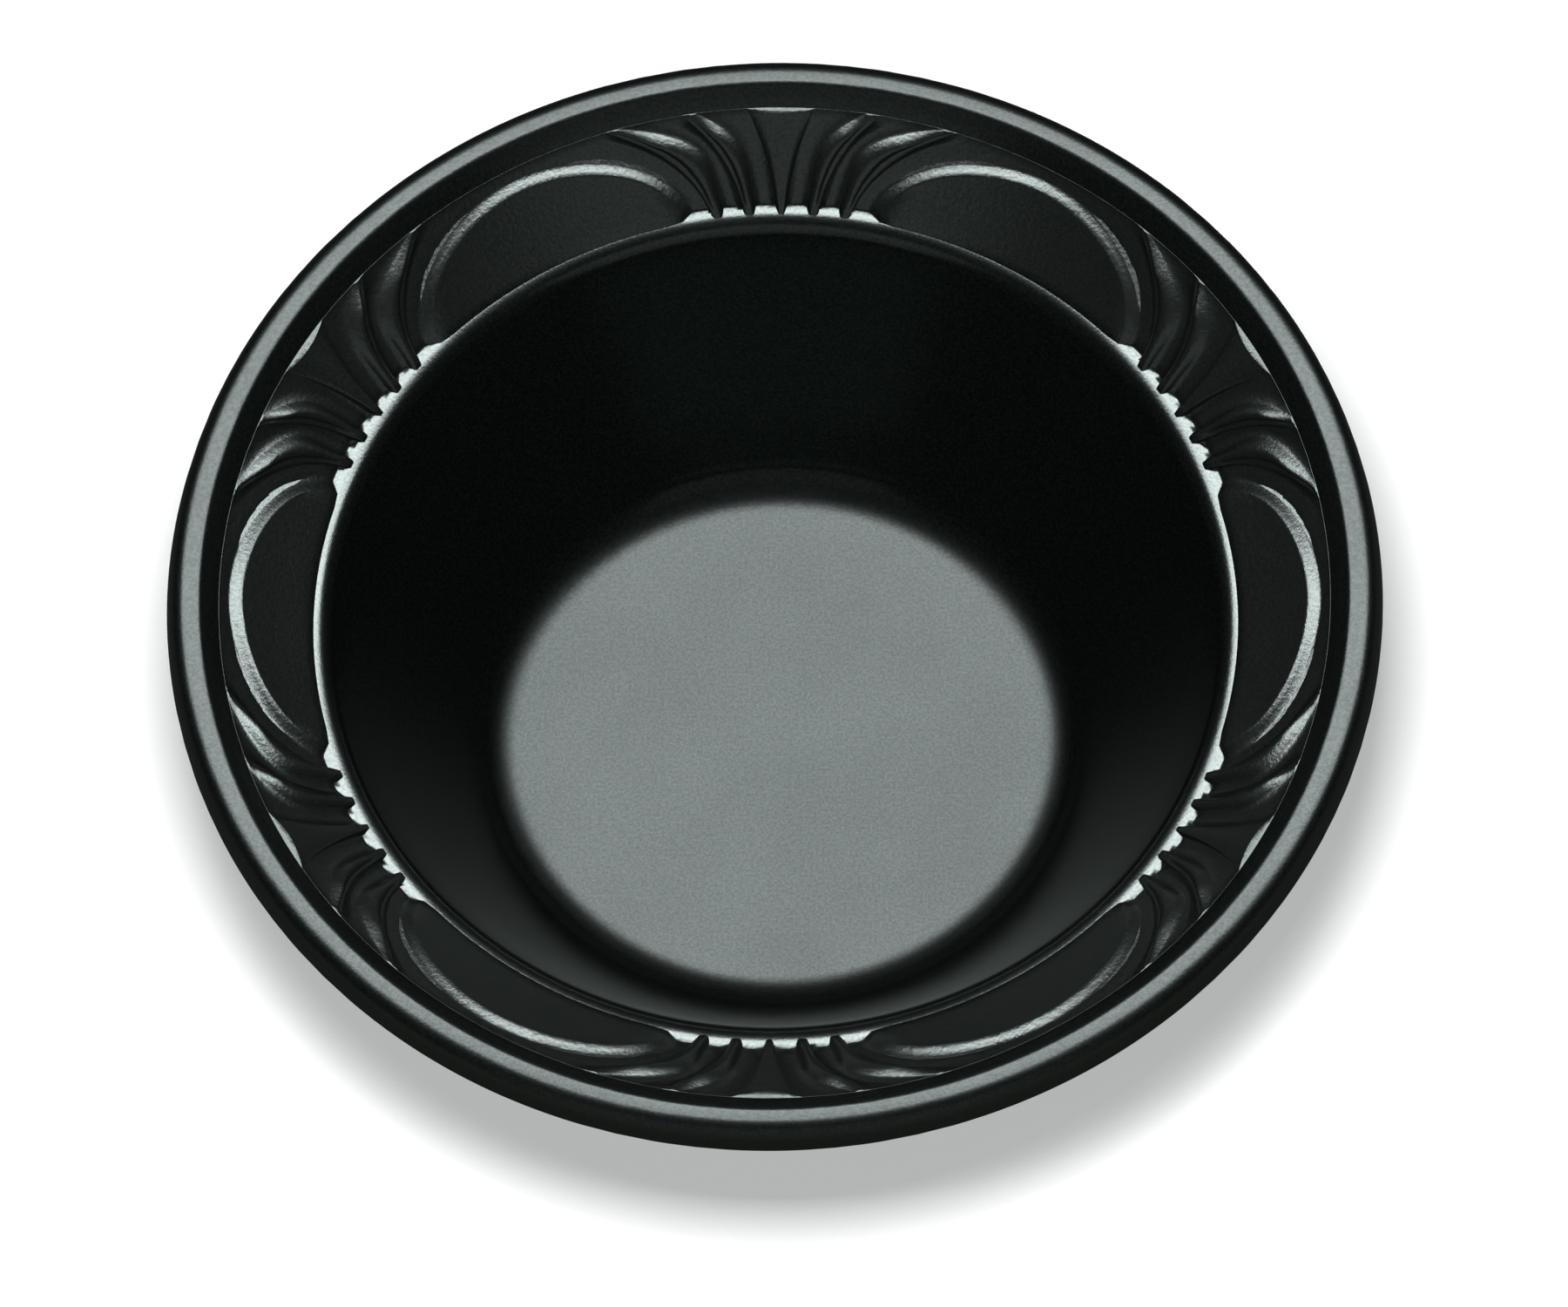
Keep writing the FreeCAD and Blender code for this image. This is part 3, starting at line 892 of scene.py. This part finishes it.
@dataclass(frozen=True)
class FilmFinish:
    """Satin black film with the foam's fine cells showing through it, a painted sheen on its
    embossed slope, and the studio light's greenish cast painted into its reflections.
    """

    name: str = "black_film"
    dark: Colour = (0.0010, 0.0015, 0.0014, 1.0)
    light: Colour = (0.0026, 0.0034, 0.0032, 1.0)
    # Lighter tone for the embossed slope: painted sheen that stands in for the fill light the
    # slope reflects.
    relief_sheen: Colour = (0.0034, 0.0044, 0.0039, 1.0)
    lip: Colour = (0.0055, 0.0062, 0.0052, 1.0)
    # The studio light's greenish cast, painted into the film's reflections as a specular tint.
    light_cast_tint: Colour = (0.87, 1.0, 0.975, 1.0)
    ior: float = 1.55
    floor_roughness: float = 0.36
    wall_roughness: float = 0.16
    ledge_roughness: float = 0.22
    slope_roughness: float = 0.26
    crown_roughness: float = 0.30
    lip_roughness: float = 0.42
    matt_specular: float = 0.23
    wall_specular: float = 0.12
    full_specular: float = 0.50
    step_specular: float = 0.28
    speckle: float = 0.16
    grain_size: float = 0.36
    grain_depth: float = 0.018
    wrinkle_size: float = 0.65
    wrinkle_depth: float = 0.050
    cloud_scale: float = 60.0
    cloud_change: float = 0.01
    noise_span: Span = (0.3, 0.7)
    light_span: Span = (0.35, 0.7)
    least_tone: float = 0.5
    floor_span: Span = (0.0, 0.4)
    bend_span: Span = (0.3, 2.5)
    ledge_span: Span = (-1.8, 0.0)
    slope_start: Span = (0.1, 0.8)
    slope_end: Span = (-0.5, 0.1)
    step_span: Span = (-1.0, -0.2)
    crown_span: Span = (0.2, -1.2)
    lip_span: Span = (1.4, 2.0)

    def material(self, sizes: SheetSizes) -> bpy.types.Material:
        """Makes the film's material.

        Args:
            sizes: The section, whose levels say where the film is more or less glossy.

        Returns:
            The material.
        """
        made = bpy.data.materials.new(self.name)
        made.use_nodes = True
        nodes = NodeTree(made.node_tree)
        place = nodes.add("TexCoord").outputs["Object"]
        axes = nodes.add("SeparateXYZ", {0: place})
        square = nodes.math("ADD", nodes.math("MULTIPLY", axes.outputs[0], axes.outputs[0]),
                            nodes.math("MULTIPLY", axes.outputs[1], axes.outputs[1]))
        radius = nodes.math("SQRT", square)
        level = axes.outputs[2]
        grain = nodes.add("TexNoise", {"Vector": place, "Scale": 1 / (self.grain_size * MM),
                                       "Detail": 3.0, "Roughness": 0.6})
        cloud = nodes.add("TexNoise", {"Vector": place, "Scale": self.cloud_scale,
                                       "Detail": 3.0})
        off_floor = nodes.past(level, sizes.sheet, self.floor_span)
        up_bend = nodes.past(level, sizes.sheet, self.bend_span)
        on_ledge = nodes.past(level, sizes.ledge_level, self.ledge_span)
        on_slope = nodes.math("SUBTRACT",
                              nodes.past(level, sizes.ledge_level, self.slope_start),
                              nodes.past(radius, sizes.step_radius, self.slope_end))
        on_step = nodes.past(radius, sizes.step_radius, self.step_span)
        on_crown = nodes.ramp(radius, (sizes.step_radius + self.crown_span[0]) * MM,
                              (sizes.crown_inner + self.crown_span[1]) * MM)
        on_lip = nodes.past(radius, sizes.crown_outer, self.lip_span)
        colour = nodes.blend(nodes.ramp(grain.outputs[0], *self.light_span), self.dark,
                             self.light)
        # The embossed slope is blended towards the lighter relief colour, mottled by the foam's
        # cells: painted sheen of the reflected fill light.
        relief_sheen_share = nodes.math("MULTIPLY", on_slope, nodes.ramp(grain.outputs[0], *self.noise_span,
                                                           self.least_tone, 1.0))
        colour = nodes.blend(relief_sheen_share, colour, self.relief_sheen)
        colour = nodes.blend(on_lip, colour, self.lip)
        rough = self.by_place(nodes, self.floor_roughness, (
            (up_bend, self.wall_roughness), (on_ledge, self.ledge_roughness),
            (on_slope, self.slope_roughness), (on_crown, self.crown_roughness),
            (on_lip, self.lip_roughness)))
        variation = nodes.ramp(cloud.outputs[0], *self.noise_span, -self.cloud_change,
                               self.cloud_change)
        rough = nodes.math("ADD", rough, variation)
        specular = self.by_place(nodes, self.matt_specular, (
            (off_floor, self.wall_specular), (on_ledge, self.full_specular),
            (on_step, self.step_specular), (on_crown, self.matt_specular)))
        speckle = nodes.ramp(grain.outputs[0], *self.noise_span, 1 - self.speckle,
                             1 + self.speckle)
        specular = nodes.math("MULTIPLY", specular, speckle)
        folds = nodes.add("TexNoise", {"Vector": place, "Detail": 4.0, "Roughness": 0.65,
                                       "Scale": 1 / (self.wrinkle_size * MM)})
        depth = self.by_place(nodes, self.grain_depth, (
            (off_floor, 0.0), (on_ledge, self.grain_depth)))
        fine = nodes.math("MULTIPLY", grain.outputs[0], depth)
        coarse = nodes.math("MULTIPLY", nodes.math("MULTIPLY", folds.outputs[0], on_slope),
                            self.wrinkle_depth)
        bump = nodes.add("Bump", {"Height": nodes.math("ADD", fine, coarse), "Strength": 1.0,
                                  "Distance": MM})
        shader = nodes.add("BsdfPrincipled", {"Base Color": colour, "Roughness": rough,
                                              "IOR": self.ior, "Specular IOR Level": specular,
                                              "Specular Tint": self.light_cast_tint,
                                              "Normal": bump.outputs[0]})
        nodes.add("OutputMaterial", {"Surface": shader.outputs[0]})
        return made

    def by_place(self, nodes: NodeTree, first: float,
                 places: Sequence[tuple[bpy.types.NodeSocket, float]]) -> bpy.types.NodeSocket:
        """A number that changes from place to place over the film.

        Args:
            nodes: The tree to add to.
            first: The number in the middle of the floor.
            places: Shares that grow to 1 at a place, each with the number there.

        Returns:
            The socket with the number.
        """
        value = first
        for share, there in places:
            value = nodes.add("Mix", {0: share, 2: value, 3: there}).outputs[0]
        return value


@dataclass(frozen=True)
class FoamFinish:
    """Matt black foam with fine closed cells, slightly brown."""

    name: str = "black_foam"
    skin: Colour = (0.017, 0.016, 0.014, 1.0)
    cell: Colour = (0.036, 0.033, 0.028, 1.0)
    cell_size: float = 0.5
    cell_depth: float = 0.03
    cell_span: Span = (0.0, 0.6)
    cell_strength: float = 0.8
    cloud_scale: float = 90.0
    cloud_span: Span = (0.25, 0.75)
    least_cells: float = 0.35
    roughness: float = 0.62
    roughness_span: Span = (0.3, 0.7)
    roughness_change: float = 0.06
    ior: float = 1.45

    def material(self) -> bpy.types.Material:
        """Makes the foam's material.

        Returns:
            The material.
        """
        made = bpy.data.materials.new(self.name)
        made.use_nodes = True
        nodes = NodeTree(made.node_tree)
        place = nodes.add("TexCoord").outputs["Object"]
        cells = nodes.add("TexVoronoi", {"Vector": place, "Scale": 1 / (self.cell_size * MM)},
                          feature="SMOOTH_F1")
        cloud = nodes.add("TexNoise", {"Vector": place, "Scale": self.cloud_scale,
                                       "Detail": 4.0})
        share = nodes.math("MULTIPLY", nodes.ramp(cells.outputs["Distance"], *self.cell_span),
                           nodes.ramp(cloud.outputs[0], *self.cloud_span, self.least_cells, 1.0))
        colour = nodes.blend(share, self.cell, self.skin)
        rough = nodes.ramp(cloud.outputs[0], *self.roughness_span,
                           self.roughness - self.roughness_change,
                           self.roughness + self.roughness_change)
        bump = nodes.add("Bump", {"Height": cells.outputs["Distance"],
                                  "Strength": self.cell_strength,
                                  "Distance": self.cell_depth * MM}, invert=True)
        shader = nodes.add("BsdfPrincipled", {"Base Color": colour, "Roughness": rough,
                                              "IOR": self.ior, "Normal": bump.outputs[0]})
        nodes.add("OutputMaterial", {"Surface": shader.outputs[0]})
        return made


@dataclass(frozen=True)
class TableFinish:
    """Plain white table that keeps the bowl's shadow."""

    name: str = "white_table"
    colour: Colour = (0.86, 0.87, 0.868, 1.0)
    glow: Colour = (0.965, 1.0, 0.985, 1.0)
    unseen: Colour = (0.05, 0.05, 0.05, 1.0)
    backdrop: float = 0.425
    cloud_scale: float = 3.0
    paler_by: float = 0.01

    def material(self) -> bpy.types.Material:
        """Makes the table's material.

        Returns:
            The material.
        """
        made = bpy.data.materials.new(self.name)
        made.use_nodes = True
        nodes = NodeTree(made.node_tree)
        place = nodes.add("TexCoord").outputs["Object"]
        cloud = nodes.add("TexNoise", {"Vector": place, "Scale": self.cloud_scale})
        paler = tuple(min(1.0, part + self.paler_by) for part in self.colour)
        colour = nodes.blend(cloud.outputs[0], self.colour, paler)
        camera = nodes.add("LightPath").outputs["Is Camera Ray"]
        shader = nodes.add("BsdfDiffuse", {"Color": nodes.blend(camera, self.unseen, colour)})
        white = nodes.add("Emission", {"Color": self.glow, "Strength": 1.0})
        seen = nodes.math("MULTIPLY", camera, self.backdrop)
        mixed = nodes.add("MixShader", {0: seen, 1: shader.outputs[0], 2: white.outputs[0]})
        nodes.add("OutputMaterial", {"Surface": mixed.outputs[0]})
        return made


# ---------------------------------------------------------------- studio
class Reach(Enum):
    """What a lamp lights: matt surfaces, shiny ones, or both."""

    MATT = "matt"
    SHEEN = "sheen"
    BOTH = "both"


@dataclass(frozen=True)
class Panel:
    """A soft lamp: where it stands, as seen from the bowl, its size, power and reach."""

    name: str
    azimuth: float
    elevation: float
    distance: float
    width: float
    height: float
    power: float
    reach: Reach


@dataclass
class Studio:
    """Table, lamps, world and camera."""

    heading: float = 3.0
    camera_elevation: float = 63.20
    camera_roll: float = 2.558
    camera_distance: float = 1.3724
    lens: float = 250.77
    aim: tuple[float, float, float] = (0.0011463, -0.0048667, 0.0368)
    sensor_width: float = 36.0
    clip: Span = (0.01, 50.0)
    table_size: float = 6.0
    fill: float = 0.03
    panels: tuple[Panel, ...] = (
        Panel("back_lamp", -4.0, 64.0, 1.3, 1.6, 0.5, 48.0, Reach.SHEEN),
        Panel("top_lamp", 175.5, 74.2, 0.74, 0.143, 0.143, 8.8, Reach.MATT),
        Panel("front_fill", 180.0, 40.0, 1.3, 1.6, 0.9, 2.0, Reach.BOTH),
    )

    def direction(self, azimuth: float, elevation: float) -> Vector:
        """Direction from the bowl.

        Args:
            azimuth: 0 straight away from the camera, growing to the left.
            elevation: Angle above the table.

        Returns:
            The direction, one unit long.
        """
        turn = rad(90 + self.heading + azimuth)
        return Vector((math.cos(turn) * math.cos(rad(elevation)),
                       math.sin(turn) * math.cos(rad(elevation)), math.sin(rad(elevation))))

    def build_table(self) -> None:
        """Lays the table under the bowl."""
        bpy.ops.object.select_all(action="DESELECT")
        bpy.ops.mesh.primitive_plane_add(size=self.table_size)
        table = bpy.context.object
        table.name = "table"
        table.data.materials.append(TableFinish().material())

    def build_lamps(self) -> None:
        """Hangs the soft lamps, each facing the bowl."""
        for panel in self.panels:
            data = bpy.data.lights.new(panel.name, "AREA")
            data.shape = "RECTANGLE"
            data.size = panel.width
            data.size_y = panel.height
            data.energy = panel.power
            lamp = bpy.data.objects.new(panel.name, data)
            towards = self.direction(panel.azimuth, panel.elevation)
            lamp.location = towards * panel.distance
            lamp.rotation_euler = towards.to_track_quat("Z", "Y").to_euler()
            lamp.visible_diffuse = panel.reach is not Reach.SHEEN
            lamp.visible_glossy = panel.reach is not Reach.MATT
            bpy.context.collection.objects.link(lamp)

    def build_world(self) -> None:
        """White backdrop for the camera, and a weak even fill for everything else."""
        world = bpy.data.worlds.new("studio")
        bpy.context.scene.world = world
        world.use_nodes = True
        nodes = NodeTree(world.node_tree)
        seen = nodes.add("LightPath").outputs["Is Camera Ray"]
        fill = (self.fill, self.fill, self.fill, 1.0)
        colour = nodes.blend(seen, fill, (1.0, 1.0, 1.0, 1.0))
        back = nodes.add("Background", {"Color": colour, "Strength": 1.0})
        nodes.add("OutputWorld", {"Surface": back.outputs[0]})

    def build_camera(self) -> None:
        """Stands the camera over the bowl."""
        turn = rad(self.heading)
        tilt = rad(self.camera_elevation)
        roll = rad(self.camera_roll)
        right = Vector((math.cos(turn), math.sin(turn), 0.0))
        ahead = Vector((-math.sin(turn), math.cos(turn), 0.0))
        forward = ahead * math.cos(tilt) - Vector((0, 0, 1)) * math.sin(tilt)
        upward = ahead * math.sin(tilt) + Vector((0, 0, 1)) * math.cos(tilt)
        across = right * math.cos(roll) - upward * math.sin(roll)
        up = right * math.sin(roll) + upward * math.cos(roll)
        data = bpy.data.cameras.new("camera")
        data.sensor_width = self.sensor_width
        data.lens = self.lens
        data.clip_start, data.clip_end = self.clip
        camera = bpy.data.objects.new("camera", data)
        bpy.context.collection.objects.link(camera)
        frame_axes = Matrix((across, up, -forward)).transposed().to_4x4()
        spot = Vector(self.aim) - forward * self.camera_distance
        camera.matrix_world = Matrix.Translation(spot) @ frame_axes
        bpy.context.scene.camera = camera

    def build(self) -> None:
        """Sets up the whole studio."""
        self.build_table()
        self.build_lamps()
        self.build_world()
        self.build_camera()
        bpy.context.scene.view_settings.view_transform = "Standard"


# ---------------------------------------------------------------- main
def dress(piece: bpy.types.Object, node: str, material: bpy.types.Material) -> None:
    """Gives a piece its material and its body, and hides the CAD part that it stands for.

    Args:
        piece: The finished piece.
        node: The CAD node that it stands for.
        material: Its material.
    """
    piece.data.materials.clear()
    piece.data.materials.append(material)
    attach(piece, "root")
    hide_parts(node)
    LOG.info("%s: %d faces", piece.name, len(piece.data.polygons))


def main() -> None:
    """Builds the bowl and its studio in order."""
    sizes = SheetSizes()
    embossing = Embossing()
    film = FilmLining("film_surface", sizes, embossing)
    dress(film.build(), "film_lining", FilmFinish().material(sizes))
    foam = FoamBody("foam_sheet", sizes, embossing)
    dress(foam.build(film), "foam_body", FoamFinish().material())
    Studio().build()


if __name__ == "__main__":
    main()
